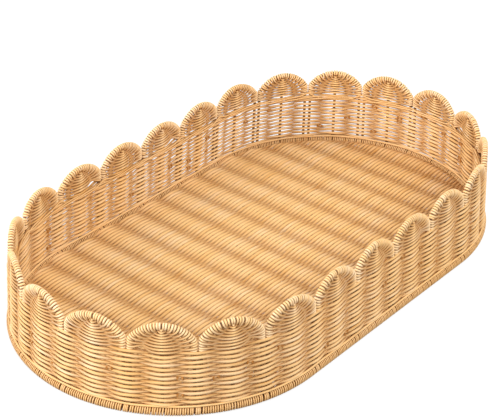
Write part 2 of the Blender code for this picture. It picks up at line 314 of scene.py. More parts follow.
@dataclass
class Cords:
    """A bundle of round cords that have the same number of stations.

    Attributes:
        path: array (cords, stations, 3) of world points.
        guide: array that broadcasts to the path, a direction square to the cords
            from which their sections are turned.
        radius: half of the thickness.
        tone: from 0, dark, to 1, light.
        depth: painted shade, 1 where the cord lies deep in the weave, 0 on it.
        closed: whether each cord ends where it starts.
        wide: how much wider a section is along the guide than across it.
        edge: how much more painted shade the sides of a cord get than its back, along the guide.

    The numbers are single ones, or arrays that broadcast to (cords, stations).
    """

    path: Array
    guide: Array
    radius: Number
    tone: Number
    depth: Number
    closed: bool = False
    wide: Number = 1.0
    edge: Number = 0.0

    def spread(self, value: Number) -> Array:
        """Return a number of the bundle as an array (cords, stations, 1)."""
        return np.broadcast_to(value, self.path.shape[:2])[..., None]

    def rings(self, sides: int) -> tuple[Array, Array, Array]:
        """Return the section points of every station.

        The tangent is the difference of the neighbouring stations. The guide less
        its share along the tangent is the first axis, and their cross product is
        the second. The section is an ellipse on the two.

        Args:
            sides: points of a section.

        Returns:
            points (cords, stations, sides, 3), the run along each cord
            (cords, stations) and the angle of each side (sides,).
        """
        path = self.path
        if self.closed:
            ahead = np.roll(path, -1, axis=1) - np.roll(path, 1, axis=1)
        else:
            ahead = np.gradient(path, axis=1)
        ahead /= np.linalg.norm(ahead, axis=-1, keepdims=True)
        guide = np.broadcast_to(self.guide, path.shape)
        first = guide - ahead * (guide * ahead).sum(-1, keepdims=True)
        first /= np.linalg.norm(first, axis=-1, keepdims=True)
        second = np.cross(ahead, first)
        angle = 2 * math.pi * np.arange(sides) / sides + math.pi / sides
        across = np.cos(angle)[:, None] * self.spread(self.wide)[..., None]
        out = np.sin(angle)[:, None]
        ring = across * first[:, :, None, :] + out * second[:, :, None, :]
        lengths = np.linalg.norm(np.diff(path, axis=1), axis=-1)
        run = np.concatenate([np.zeros((len(path), 1)), np.cumsum(lengths, axis=1)], axis=1)
        return path[:, :, None, :] + self.spread(self.radius)[..., None] * ring, run, angle


class TubeMesh:
    """Gathers bundles of cords into one mesh with their fibre directions."""

    FIBRE_PER_METRE = 9.0
    GRAIN_SPREAD = 40.0
    # Strength of the painted highlight on a cord's back and of the painted shade on its sides.
    PAINTED_HIGHLIGHT_AND_SHADE = 0.26
    SHARP_TURN = math.radians(72)

    def __init__(self, name: str, seed: int) -> None:
        """Start an empty mesh.

        Args:
            name: the mesh's name.
            seed: seed for the cords' grain.
        """
        self.name = name
        self.dice = np.random.default_rng(seed)
        self.blocks: list[tuple[Array, ...]] = []
        self.quads: list[Array] = []
        self.fans: list[Array] = [np.empty((0, 3), int)]
        self.count = 0

    def add(self, cords: Cords, sides: int) -> None:
        """Add a bundle: side faces between stations, and a fan on each open end.

        The fibre coordinate of a point is its run along the cord and the cosine
        and sine of its angle, moved by a random amount for each cord. Its tone is
        the cord's with a painted highlight on the back and painted shade on the
        sides, by the square of the sine. Its painted shade is the cord's, and more
        on the sides that face its neighbours, by the fourth power of the cosine.

        Args:
            cords: the bundle.
            sides: points of a section.
        """
        rings, run, angle = cords.rings(sides)
        shape = rings.shape[:3]
        index = self.count + np.arange(math.prod(shape)).reshape(shape)
        near = index if cords.closed else index[:, :-1]
        far = np.roll(index, -1, axis=1) if cords.closed else index[:, 1:]
        quad = [near, np.roll(near, -1, axis=2), np.roll(far, -1, axis=2), far]
        self.quads.append(np.stack(quad, axis=-1).reshape(-1, 4))
        cosine, sine = np.cos(angle), np.sin(angle)
        fibre = join(self.FIBRE_PER_METRE * run[..., None], cosine, sine)
        fibre = fibre + self.dice.uniform(0, self.GRAIN_SPREAD, (shape[0], 1, 1, 3))
        # Painted highlight on the cord's back, and painted shade on its sides where it meets its
        # neighbours.
        light = self.PAINTED_HIGHLIGHT_AND_SHADE * (sine**2 - 0.5)
        tone = np.clip(cords.spread(cords.tone) + light, 0, 1)
        # Painted shade: the cord's own amount, and more on its sides that face the neighbouring
        # cords.
        depth = cords.spread(cords.depth) + cords.spread(cords.edge) * cosine**4
        self.store(rings.reshape(-1, 3), fibre.reshape(-1, 3), tone.ravel(), depth.ravel())
        for end in () if cords.closed else (0, -1):
            around = [index[:, end], np.roll(index[:, end], -1, axis=1)]
            hub = self.count + np.arange(shape[0])[:, None]
            fan = [np.broadcast_to(hub, around[0].shape), *(around if end else around[::-1])]
            self.fans.append(np.stack(fan, axis=-1).reshape(-1, 3))
            # The middle of each cut end gets full painted shade.
            middle, deep = cords.path[:, end], np.ones(shape[0])
            self.store(middle, fibre[:, end, 0], tone[:, end, 0], deep)

    def store(self, points: Array, fibre: Array, tone: Array, depth: Array) -> None:
        """Keep a block of points with their attributes, and count them."""
        self.blocks.append((points, fibre, tone, depth))
        self.count += len(points)

    def finish(self) -> bpy.types.Mesh:
        """Put all bundles into one mesh, smooth but for the cut ends.

        Returns:
            the mesh, with the attributes tone, depth and fibre on its points.
        """
        quads, fans = np.concatenate(self.quads), np.concatenate(self.fans)
        blocks = (np.concatenate(part).astype(np.float32) for part in zip(*self.blocks))
        points, fibre, tone, depth = blocks
        mesh = bpy.data.meshes.new(self.name)
        mesh.vertices.add(len(points))
        mesh.vertices.foreach_set("co", points.ravel())
        loops = np.concatenate([quads.ravel(), fans.ravel()])
        mesh.loops.add(len(loops))
        mesh.loops.foreach_set("vertex_index", loops)
        fan_starts = quads.size + fans.shape[1] * np.arange(len(fans))
        starts = np.concatenate([quads.shape[1] * np.arange(len(quads)), fan_starts])
        mesh.polygons.add(len(starts))
        mesh.polygons.foreach_set("loop_start", starts)
        mesh.update(calc_edges=True)
        mesh.shade_smooth()
        mesh.set_sharp_from_angle(angle=self.SHARP_TURN)
        for name, values in (("tone", tone), ("depth", depth)):
            mesh.attributes.new(name, "FLOAT", "POINT").data.foreach_set("value", values)
        layer = mesh.attributes.new("fibre", "FLOAT_VECTOR", "POINT")
        layer.data.foreach_set("vector", fibre.ravel())
        return mesh


class Nodes:
    """Short ways to lay out the nodes of a material or of the world."""

    NOISE_RANGE = (0.3, 0.7)
    # The Mix node's sockets go by number, because their names repeat.
    MIX_NUMBERS = (2, 3)
    MIX_COLOURS = (6, 7)
    MIXED_COLOUR = 2

    def __init__(self, owner: bpy.types.Material | bpy.types.World) -> None:
        """Start on a node tree.

        Args:
            owner: the material or the world that has it.
        """
        owner.use_nodes = True
        self.owner = owner
        self.tree = owner.node_tree

    def fill(self, node: bpy.types.Node, inputs: dict[str | int, object]) -> bpy.types.Node:
        """Set a node's inputs to plain values, or link them to sockets.

        Args:
            node: the node.
            inputs: a value or an output socket by each input's name or number.

        Returns:
            the node.
        """
        for name, value in inputs.items():
            if isinstance(value, Socket):
                self.tree.links.new(value, node.inputs[name])
            else:
                node.inputs[name].default_value = value
        return node

    def add(self, kind: str, inputs: dict[str | int, object], **settings: object) -> bpy.types.Node:
        """Return a new node of a kind, with its properties and inputs set.

        Args:
            kind: Blender's name for the kind.
            inputs: values or sockets, as fill takes them.
            settings: values for its properties.

        Returns:
            the node.
        """
        node = self.tree.nodes.new(kind)
        for name, value in settings.items():
            setattr(node, name, value)
        return self.fill(node, inputs)

    def dress(self, inputs: dict[str | int, object]) -> bpy.types.Material:
        """Fill the material's own shader, and return the material."""
        self.fill(self.tree.nodes["Principled BSDF"], inputs)
        return self.owner

    def place(self) -> Socket:
        """Return the place in object space."""
        return self.add("ShaderNodeTexCoord", {}).outputs["Object"]

    def attribute(self, name: str, output: str = "Fac") -> Socket:
        """Return a point attribute, as a number or as a vector."""
        return self.add("ShaderNodeAttribute", {}, attribute_name=name).outputs[output]

    def noise(self, vector: Socket, scale: float, detail: float) -> Socket:
        """Return a noise of some scale and detail on a vector."""
        inputs = {"Vector": vector, "Scale": scale, "Detail": detail}
        return self.add("ShaderNodeTexNoise", inputs).outputs["Fac"]

    def blend(self, first: Socket, second: Socket, share: float) -> Socket:
        """Return the mix of two numbers, with a share of the second."""
        inputs = {"Factor": share, **dict(zip(self.MIX_NUMBERS, (first, second)))}
        return self.add("ShaderNodeMix", inputs, data_type="FLOAT").outputs[0]

    def tint(self, base: Socket, colour: Colour, factor: Socket) -> Socket:
        """Return a colour moved towards a fixed one by a factor."""
        inputs = {"Factor": factor, **dict(zip(self.MIX_COLOURS, (base, (*colour, 1.0))))}
        return self.add("ShaderNodeMix", inputs, data_type="RGBA").outputs[self.MIXED_COLOUR]

    def ramp(self, factor: Socket, stops: tuple[float, ...], colours: tuple[Colour, ...]) -> Socket:
        """Return the colour that a ramp gives for a number.

        Args:
            factor: the number.
            stops: places on the ramp, from 0 to 1.
            colours: the colour at each.

        Returns:
            the colour.
        """
        node = self.add("ShaderNodeValToRGB", {"Fac": factor})
        elements = node.color_ramp.elements
        while len(elements) < len(stops):
            elements.new(0.5)
        for element, place, colour in zip(elements, stops, colours):
            element.position = place
            element.color = (*colour, 1.0)
        return node.outputs["Color"]

    def spread(self, value: Socket, low: float, high: float, source: Pair = NOISE_RANGE) -> Socket:
        """Return a number moved from the range of its source to one from low to high."""
        inputs = {"Value": value, "To Min": low, "To Max": high}
        inputs |= {"From Min": source[0], "From Max": source[1]}
        return self.add("ShaderNodeMapRange", inputs).outputs["Result"]


@dataclass(frozen=True)
class CaneFinish:
    """Lacquered cane: straw colours that vary from cord to cord and along them.

    Attributes:
        deep, mid, pale: colours of the darkest streaks, most of the cord and the
            lightest streaks.
        warm: colour of broad patches where the lacquer is thicker.
        painted_shade_colour: colour of the painted shade in the weave's gaps and crevices.
            warm_share, painted_shade_share: how much of the two shows at most.
        gloss: how strongly the lacquer mirrors, 0.5 for plain varnish.
        streaks, grain, blotches, patches: scale and detail of the noises.
        streak_share, blotch_share: how much these two move the tone.
        stops: tones at which deep, mid, mid again and pale stand.
    """

    name: str
    deep: Colour
    mid: Colour
    pale: Colour
    warm: Colour
    painted_shade_colour: Colour
    warm_share: float = 0.40
    painted_shade_share: float = 0.88
    gloss: float = 0.12
    streaks: Pair = (5.0, 3.0)
    grain: Pair = (14.0, 2.0)
    blotches: Pair = (22.0, 2.0)
    patches: Pair = (11.0, 1.0)
    streak_share: float = 0.40
    blotch_share: float = 0.25
    stops: tuple[float, ...] = (0.10, 0.42, 0.56, 0.84)
    roughness: Pair = (0.38, 0.56)
    bump_strength: float = 0.35
    bump_height: float = 0.00012

    def material(self) -> bpy.types.Material:
        """Return the material.

        The tone of the cord, fine streaks along its fibres and slow blotches in
        object space choose the colour. Broad patches in object space warm it, and
        the depth attribute brings in the painted shade colour, for the shade
        where cords dive into the weave and meet. The finest grain also
        drives the roughness and the bump.

        Returns:
            the new material.
        """
        kit = Nodes(bpy.data.materials.new(self.name))
        fibre, place = kit.attribute("fibre", "Vector"), kit.place()
        streaks = kit.spread(kit.noise(fibre, *self.streaks), 0, 1)
        blotches = kit.spread(kit.noise(place, *self.blotches), 0, 1)
        tone = kit.blend(kit.attribute("tone"), streaks, self.streak_share)
        tone = kit.blend(tone, blotches, self.blotch_share)
        straw = kit.ramp(tone, self.stops, (self.deep, self.mid, self.mid, self.pale))
        warmth = kit.spread(kit.noise(place, *self.patches), 0, self.warm_share)
        # Painted shade: how far the colour goes towards the painted shade colour.
        painted_shade_mix = kit.spread(kit.attribute("depth"), 0, self.painted_shade_share, (0, 1))
        grain = kit.noise(fibre, *self.grain)
        bump = {"Strength": self.bump_strength, "Distance": self.bump_height, "Height": grain}
        return kit.dress(
            {
                "Base Color": kit.tint(kit.tint(straw, self.warm, warmth), self.painted_shade_colour, painted_shade_mix),
                "Roughness": kit.spread(grain, *self.roughness),
                "Normal": kit.add("ShaderNodeBump", bump).outputs["Normal"],
                "Specular IOR Level": self.gloss,
            }
        )


@dataclass(frozen=True)
class WireFinish:
    """Brown painted wire with worn, slightly lighter patches.

    Patches are a noise of a scale and detail. At its stops the paint ends and the
    worn colour starts.
    """

    name: str
    paint: Colour
    worn: Colour
    patches: Pair = (60.0, 4.0)
    stops: Pair = (0.42, 0.66)
    roughness: Pair = (0.42, 0.60)

    def material(self) -> bpy.types.Material:
        """Return the material: noise in object space mixes paint and worn patches.

        Returns:
            the new material.
        """
        kit = Nodes(bpy.data.materials.new(self.name))
        patches = kit.noise(kit.place(), *self.patches)
        colour = kit.ramp(patches, self.stops, (self.paint, self.worn))
        return kit.dress({"Base Color": colour, "Roughness": kit.spread(patches, *self.roughness)})


# In each cane finish the last colour is painted shade, for where cords dive into the weave and meet
# each other.
FINISHES = {
    Slot.CANE: CaneFinish(
        name="wall_cane",
        deep=(0.64, 0.33, 0.09),
        mid=(0.87, 0.567, 0.268),
        pale=(0.90, 0.68, 0.425),
        warm=(0.82, 0.46, 0.14),
        painted_shade_colour=(0.30, 0.095, 0.008),
    ),
    Slot.RIM: CaneFinish(
        name="rim_cane",
        deep=(0.66, 0.36, 0.11),
        mid=(0.88, 0.59, 0.287),
        pale=(0.92, 0.735, 0.50),
        warm=(0.83, 0.48, 0.16),
        painted_shade_colour=(0.30, 0.10, 0.010),
    ),
    Slot.WIRE: WireFinish(name="frame_wire", paint=(0.13, 0.052, 0.013), worn=(0.26, 0.12, 0.045)),
}


@dataclass
class Dresser:
    """Turns finished meshes into pieces of the basket and reports them."""

    materials: dict[Slot, bpy.types.Material]

    def put(self, mesh: bpy.types.Mesh, slot: Slot, nodes: list[str]) -> None:
        """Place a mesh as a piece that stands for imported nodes.

        Args:
            mesh: the finished mesh; the piece takes its name.
            slot: the record's slot that gives the finish.
            nodes: names of the nodes that the piece replaces.
        """
        mesh.materials.append(self.materials[slot])
        piece = shown(mesh.name, mesh)
        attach(piece, BODY)
        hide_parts(*nodes)
        LOG.info("%s: %d faces", piece.name, len(mesh.polygons))


@dataclass
class Part:
    """A sub-assembly of cords or rods on the wall's line.

    All of them use the same words for their sizes. A radius is half of the
    thickness of a cord or rod. The swing is how far a cord's middle goes to each
    side of the rods. What ends in wide or edge goes to the fields of Cords with
    that name, and what ends in depth goes to its depth field;
    edge and depth both set painted shade. Stations are points along a
    cord, sides are points of a section, tones are the least and the most, and
    the seed starts the grain.
    """

    line: WallLine
    dresser: Dresser
    sides: int = 8

    def piece(self, name: str, seed: int, bundles: list[Cords], slot: Slot, node: str) -> None:
        """Make bundles of cords one piece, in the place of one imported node.

        Args:
            name: the piece's name.
            seed: seed for its cords' grain.
            bundles: the cords, in the order of their random grain.
            slot: the record's slot that gives the finish.
            node: the node that the piece replaces.
        """
        work = TubeMesh(name, seed)
        for cords in bundles:
            work.add(cords, self.sides)
        self.dresser.put(work.finish(), slot, [node])

    def build(self) -> None:
        """Make every piece of the sub-assembly."""
        raise NotImplementedError


@dataclass
class WallWeave(Part):
    """The wall below the scallops, woven in front of one rod and behind the next.

    Attributes:
        float_power: below 1, the rows stay wide further away from the rods.
        foot, head: heights of the lowest and the highest row.
        smile: how far the top rows dip at the stakes and rise at the valleys.
        slack: share of their width that the rows lose where the wall is loose.
        tucks: tucked ends for each scallop; all that starts with tuck is theirs.
        tuck_dive: how far below its middle a tuck's ends lie, in lifts.
        start_share: run from the first scallop to the front panel, in scallops.
    """

    cord_radius: float = 0.00142
    swing: float = 0.0032
    crossing_wide: float = 1.07
    float_wide: float = 1.68
    float_power: float = 0.7
    crossing_painted_shade: float = 0.50
    edge: float = 0.50
    rows: int = 24
    foot: float = 0.0166
    head: float = 0.0868
    smile: float = 0.0012
    slack: float = 0.27
    tones: Pair = (0.05, 0.95)
    tone_seed: int = 21
    swing_change: Wander = Wander(11, (31, 57), 0.05)
    common_drift: Wander = Wander(12, (7, 15, 26), 0.0010)
    own_drift: Wander = Wander(13, (23, 41, 67), 0.00044)
    thickness_change: Wander = Wander(14, (37, 83), 0.075)
    tucks: int = 3
    tuck_length: float = 0.0075
    tuck_lift: float = 0.0009
    tuck_dive: float = 4.0
    tuck_skew: float = 0.0020
    tuck_tone: float = 0.0
    tuck_wide: float = 1.55
    tuck_painted_shade: float = 0.75
    tuck_margin: int = 3
    tuck_stations: int = 7
    foot_cord_height: float = 0.0138
    foot_cord_reach: float = 0.0029
    foot_cord_painted_shade: float = 0.10
    foot_cord_drift: Wander = Wander(15, (19, 35), 0.0004)
    stations: int = 14
    seed: int = 100
    start_share: float = 2.25

    def rows_at(self, along: Array) -> tuple[Array, Array]:
        """Return the places of every row at each run, and how near a rod each is.

        A row's distance outward is the swing times a cosine that has its peaks at
        the rods, with every other row turned over. Its height is its share of the
        wall and a little drift, most of it common to all rows. Towards the top it
        also dips at the stakes and rises at the valleys, as the scallops' rows do.

        Args:
            along: array (stations,) of runs.

        Returns:
            places (rows, stations, 3), and the cosine's size (rows, stations).
        """
        row = np.arange(self.rows)[:, None]
        turn = math.pi * (along[None, :] - self.line.first_scallop) / self.line.rod_step
        beat = np.cos(turn + math.pi * row)
        period = self.line.perimeter
        swing = self.swing * (1 + self.swing_change.at(along, period, self.rows))
        share = row / (self.rows - 1)
        common = self.common_drift.at(along, period, 1) * np.sin(math.pi * share)
        own = self.own_drift.at(along, period, self.rows)
        dip = self.smile * np.cos(turn) * share**2
        height = between(self.foot, self.head, share) + common + own - dip
        return join(along, swing * beat, height), np.abs(beat)

    def panel(self, side: Side, start: float, seed: int) -> None:
        """Make one panel of the wall from a run on, and the cords at its foot.

        The rows are pressed flat where they float over a rod, and round where
        they cross each other midway between two.

        Args:
            side: which panel.
            start: run at which the panel starts.
            seed: seed for its cords' grain and its tucked ends.
        """
        steps = 2 * side.scallops * self.stations
        along = start + np.linspace(0, side.scallops * self.line.scallop_width, steps + 1)
        places, near_rod = self.rows_at(along)
        tones = np.random.default_rng(self.tone_seed).uniform(*self.tones, (self.rows + 2, 1))
        thick = 1 + self.thickness_change.at(along, self.line.perimeter, self.rows)
        wide = between(self.crossing_wide, self.float_wide, near_rod**self.float_power)
        wide = wide * (1 - self.slack * self.line.slack_at(along))
        path, radius = self.line.point(places), self.cord_radius * thick
        # Painted shade where the rows cross between the rods, none where they float over one.
        depth = self.crossing_painted_shade * (1 - near_rod)
        rows = Cords(path, UP, radius, tones[: self.rows], depth, wide=wide, edge=self.edge)
        foot = self.foot_cords(along, tones[self.rows :])
        bundles = [rows, foot, self.tucked_ends(start, side, seed)]
        label = side.label
        self.piece(f"wall_cane_{label}", seed, bundles, Slot.CANE, f"wall_weave_{label}")

    def tucked_ends(self, start: float, side: Side, seed: int) -> Cords:
        """Return the short dark ends where a cord runs out and is tucked away.

        Each lies a little askew where its row crosses to the other side, half a
        step from a rod. Its distance from the row is a parabola of the way along
        it, which lifts its middle and sinks both its ends. The row is all but in
        the wall's middle there, so the last digits of its distance outward choose
        the end's side, and the sums that give it keep their order.

        Args:
            start: run at which the panel starts.
            side: which panel.
            seed: seed for their places.

        Returns:
            the bundle of ends.
        """
        dice = np.random.default_rng(seed)
        count = self.tucks * side.scallops
        row = dice.integers(self.tuck_margin, self.rows - self.tuck_margin, (count, 1))
        rod = dice.integers(1, 2 * side.scallops, (count, 1))
        at_rod = start + (rod[:, 0] - 0.5) * self.line.rod_step
        places, _ = self.rows_at(at_rod + self.line.rod_step / 2)
        along, outward, height = places[row[:, 0], np.arange(count)].T[..., None]
        share = np.linspace(-0.5, 0.5, self.tuck_stations)
        bend = self.tuck_lift * (1 - self.tuck_dive * (2 * share) ** 2)
        skew = self.tuck_skew * dice.uniform(-1, 1, (count, 1)) * share
        lifted = outward + np.sign(outward) * bend
        path = self.line.point(join(along + self.tuck_length * share, lifted, height + skew))
        # The ends are dark from their dark tone and from painted shade.
        radius, tone, depth = self.cord_radius, self.tuck_tone, self.tuck_painted_shade
        return Cords(path, UP, radius, tone, depth, wide=self.tuck_wide, edge=self.edge)

    def foot_cords(self, along: Array, tones: Array) -> Cords:
        """Return the two smooth cords that lie on the base, outside and inside.

        Args:
            along: array (stations,) of runs.
            tones: array (2, 1), the tone of each.

        Returns:
            the bundle of the two.
        """
        reach = self.foot_cord_reach * np.array([[1.0], [-1.0]])
        drift = self.foot_cord_drift.at(along, self.line.perimeter, 2)
        path = self.line.point(join(along, reach, self.foot_cord_height + drift))
        return Cords(path, UP, self.cord_radius, tones, self.foot_cord_painted_shade)

    def build(self) -> None:
        """Make all four panels, one after the other along the line."""
        start = self.line.middle(self.start_share)
        for number, side in enumerate(Side):
            self.panel(side, start, self.seed + number)
            start += side.scallops * self.line.scallop_width


@dataclass
class ScallopWeave(Part):
    """The scallops: rows that bend up to the arch rod and wrap round it.

    Attributes:
        wrap_reach: how far outside the rod's middle a wrap's middle passes.
        first_rise, last_rise: heights of the lowest and the highest row over the
            wall's top, at the stake.
        early_share: how much closer the upper rows follow each other there.
        level_share: share of its reach for which a row runs level at the stake.
        pointed: how much of that share the highest row loses.
        radial_handle: run for which a row comes straight in from the rod.
        handle_shares: the most of it, in shares of the row's reach along the wall
            and in height.
        swell_wide: extra width of the lowest rows midway to the rod.
        tip_tone: how much lighter a row is at the rod.
        jitter: how unevenly the rows meet the rod.
        unevenness: how much their swings and thicknesses differ.
        slack: share of their width that the rows lose where the wall is loose.
        hole_chance: share of the scallops that have a hole.
        tail: length of the tail behind a wrap.
        place_seed: starts the scallops' own random numbers.
    """

    cord_radius: float = 0.00128
    swing: float = 0.0032
    rod_swing: float = 0.0027
    wrap_reach: float = 0.0028
    rows: int = 17
    first_rise: float = -0.0002
    last_rise: float = 0.0305
    early_share: float = 0.20
    level_share: float = 0.42
    pointed: float = 0.55
    radial_handle: float = 0.0095
    handle_shares: Pair = (0.34, 0.55)
    stake_wide: float = 1.22
    rod_wide: float = 1.16
    swell_wide: float = 0.26
    # arc_depth sets how deep a row lies midway along it, which gives its painted shade and its
    # swell; edge and rim_edge give painted shade on the sides where rows meet.
    arc_depth: float = 0.60
    edge: float = 0.60
    rim_edge: float = 0.65
    tones: Pair = (0.10, 0.90)
    tip_tone: float = 0.30
    jitter: float = 0.00025
    unevenness: float = 0.03
    slack: float = 0.08
    hole_chance: float = 0.42
    hole_lift: float = 0.0060
    hole_place: float = 0.024
    hole_reach: float = 0.0080
    hole_rows: float = 2.2
    tail: float = 0.0068
    tail_change: float = 0.25
    tail_sink: float = 0.0024
    tail_thinning: float = 0.15
    arc_stations: int = 15
    hook_stations: int = 8
    tail_stations: int = 4
    place_seed: int = 300
    seed: int = 400

    def ends(self, dice: np.random.Generator) -> tuple[Array, Array]:
        """Return where each row meets the rod, and the way in from there.

        The rows share out the rod's length from the wall's top to the crown. On
        the crown a row ends at the arch's radius, at the turn that its run past
        the corner gives, and comes in along that radius. On the leg it ends at
        the leg's reach, and its slope grows evenly from level to the corner's.

        Args:
            dice: the scallop's own random numbers.

        Returns:
            ends and unit ways in, each (rows, 2) of run from the scallop's middle
            and height.
        """
        line = self.line
        leg = line.corner_height - line.wall_top
        whole = leg + line.arch_radius * line.corner_turn
        run = (np.arange(self.rows) + 0.5) / self.rows * whole
        run = run + dice.normal(0, self.jitter, self.rows)
        turn = line.corner_turn - np.maximum(run - leg, 0) / line.arch_radius
        below = np.maximum(leg - run, 0)
        height = line.crown_centre + line.arch_radius * np.cos(turn) - below
        slope = (math.pi / 2 - turn) * (1 - below / leg)
        ends = np.stack([line.arch_radius * np.sin(turn), height], axis=-1)
        return ends, np.stack([-np.cos(slope), -np.sin(slope)], axis=-1)

    def arcs(self, ends: Array, inward: Array) -> tuple[Array, Array]:
        """Return the rows' half arcs from the stake to the rod.

        Each row is a cubic curve. It starts level at the stake, at a height that
        grows with the row, a little faster at first, and ends at the rod on its
        way in. Its level handle is a share of its reach along the wall, smaller
        for the upper rows, which come to a point at the stake, and its other
        handle is as long as the ribs under the crown are straight.

        Args:
            ends: array (rows, 2), where each row meets the rod.
            inward: array (rows, 2), the unit way in from there.

        Returns:
            points (rows, stations, 2) of run from the scallop's middle and height,
            and shares of the way (stations,).
        """
        order = np.linspace(0, 1, self.rows)
        level = self.level_share * (1 - self.pointed * order**2)
        early = (1 + self.early_share) * order - self.early_share * order**2
        rise = between(self.first_rise, self.last_rise, early)
        none = np.zeros(self.rows)
        foot = np.stack([none, self.line.wall_top + rise], axis=-1)
        beside = foot + np.stack([level * ends[:, 0], none], axis=-1)
        most = np.abs(ends - foot) @ np.array(self.handle_shares)
        before = ends + inward * np.minimum(self.radial_handle, most)[:, None]
        share = np.linspace(0, 1, self.arc_stations)
        t = share[None, :, None]
        curve = (
            (1 - t) ** 3 * foot[:, None]
            + 3 * t * (1 - t) ** 2 * beside[:, None]
            + 3 * t**2 * (1 - t) * before[:, None]
            + t**3 * ends[:, None]
        )
        return curve, share

    def half_rows(self, dice: np.random.Generator) -> tuple[Array, Array, Array]:
        """Return the right half of every row, its guides and its traits.

        Along the arc the cord goes from one face of the stake to the other face
        of the rod, as a cosine. Round the rod it follows a half ellipse from that
        face over the outside to the first face, and its tail runs back a little
        and sinks into the weave.

        Args:
            dice: the scallop's own random numbers.

        Returns:
            places (rows, stations, 3) of run from the scallop's middle, distance
            outward and height, guides of the same shape, and the traits
            (3, 1, stations): how deep the cord lies, which sets its painted shade,
            how near the rod it is and how far its tail has run.
        """
        ends, inward = self.ends(dice)
        curve, share = self.arcs(ends, inward)
        flip = np.where(np.arange(self.rows) % 2 == 0, 1.0, -1.0)[:, None]
        loose = 1 + dice.normal(0, self.unevenness, (self.rows, 1))
        reach = between(self.swing, self.rod_swing, share)
        arc_out = flip * loose * reach * np.cos(math.pi * share)
        turn = np.linspace(0, math.pi, self.hook_stations + 1)[1:]
        swing = self.rod_swing * loose
        hook_out = -flip * swing * np.cos(turn)
        back = np.linspace(0, 1, self.tail_stations + 1)[1:]
        change = dice.uniform(-self.tail_change, self.tail_change, (self.rows, 1))
        tail_out = flip * (swing - self.tail_sink * back**2)
        hooks = -inward[:, None] * (self.wrap_reach * np.sin(turn))[:, None]
        tails = inward[:, None] * (self.tail * (1 + change) * back)[..., None]
        flat = np.concatenate([curve, ends[:, None] + hooks, ends[:, None] + tails], axis=1)
        outward = np.concatenate([arc_out, hook_out, tail_out], axis=1)
        ahead = np.gradient(curve, axis=1)
        ahead /= np.linalg.norm(ahead, axis=-1, keepdims=True)
        rest = np.broadcast_to(-inward[:, None], (self.rows, len(turn) + len(back), 2))
        ahead = np.concatenate([ahead, rest], axis=1)
        none, ones = np.zeros_like(turn), np.ones_like(turn)
        deep = np.concatenate([self.arc_depth * np.sin(math.pi * share), none, back])
        near = np.concatenate([share**3, ones, np.ones_like(back)])
        tail = np.concatenate([np.zeros_like(share), none, back])
        places = join(flat[..., 0], outward, flat[..., 1])
        guides = join(-ahead[..., 1], 0.0, ahead[..., 0])
        return places, guides, np.stack([deep, near, tail])[:, None]

    def hole(self, across: Array, dice: np.random.Generator) -> Array:
        """Return the lift that opens a small hole under the lowest rows near a leg.

        Only some scallops have one. It is a bell of the distance along the wall,
        and the rows above are lifted less and less.

        Args:
            across: array (rows, stations) of runs from the scallop's middle.
            dice: the scallop's own random numbers.

        Returns:
            the lift, of the same shape.
        """
        open_here = dice.random() < self.hole_chance
        place = self.hole_place * dice.choice([-1.0, 1.0])
        bell = np.exp(-(((across - place) / self.hole_reach) ** 2))
        fade = np.exp(-np.arange(self.rows)[:, None] / self.hole_rows)
        return self.hole_lift * open_here * bell * fade

    def scallop(self, number: int) -> None:
        """Make one scallop: each row's right half joined to its mirror image.

        Args:
            number: which one, from 0.
        """
        dice = np.random.default_rng(self.place_seed + number)
        places, guides, traits = self.half_rows(dice)
        mirror = UP + OUTWARD - ALONG
        places, guides = (
            np.concatenate([(half * mirror)[:, :0:-1], half], axis=1) for half in (places, guides)
        )
        deep, near, tail = np.concatenate([traits[..., :0:-1], traits], axis=-1)
        places[..., 2] += self.hole(places[..., 0], dice)
        middle = self.line.middle(number)
        places = places + middle * ALONG
        tones = dice.uniform(*self.tones, (self.rows, 1)) + self.tip_tone * near
        slack = 1 - self.slack * self.line.slack_at(middle)
        lower = np.linspace(1, 0, self.rows)[:, None]
        swell = self.swell_wide * lower * np.where(tail > 0, 0, deep)
        thick = self.cord_radius * (1 + dice.normal(0, self.unevenness, (self.rows, 1)))
        # deep is passed as the painted shade: most where a row crosses the wall and along its
        # sinking tail.
        cords = Cords(
            self.line.point(places),
            self.line.step(places, guides),
            thick * (1 - self.tail_thinning * tail),
            np.clip(tones, 0, 1),
            deep,
            wide=slack * (between(self.stake_wide, self.rod_wide, near) + swell),
            edge=between(self.edge, self.rim_edge, near),
        )
        name, node = f"scallop_cane_{number + 1:02d}", f"scallop_weave_{number + 1:02d}"
        self.piece(name, self.seed + number, [cords], Slot.RIM, node)

    def build(self) -> None:
        """Make every scallop."""
        for number in range(self.line.scallops):
            self.scallop(number)


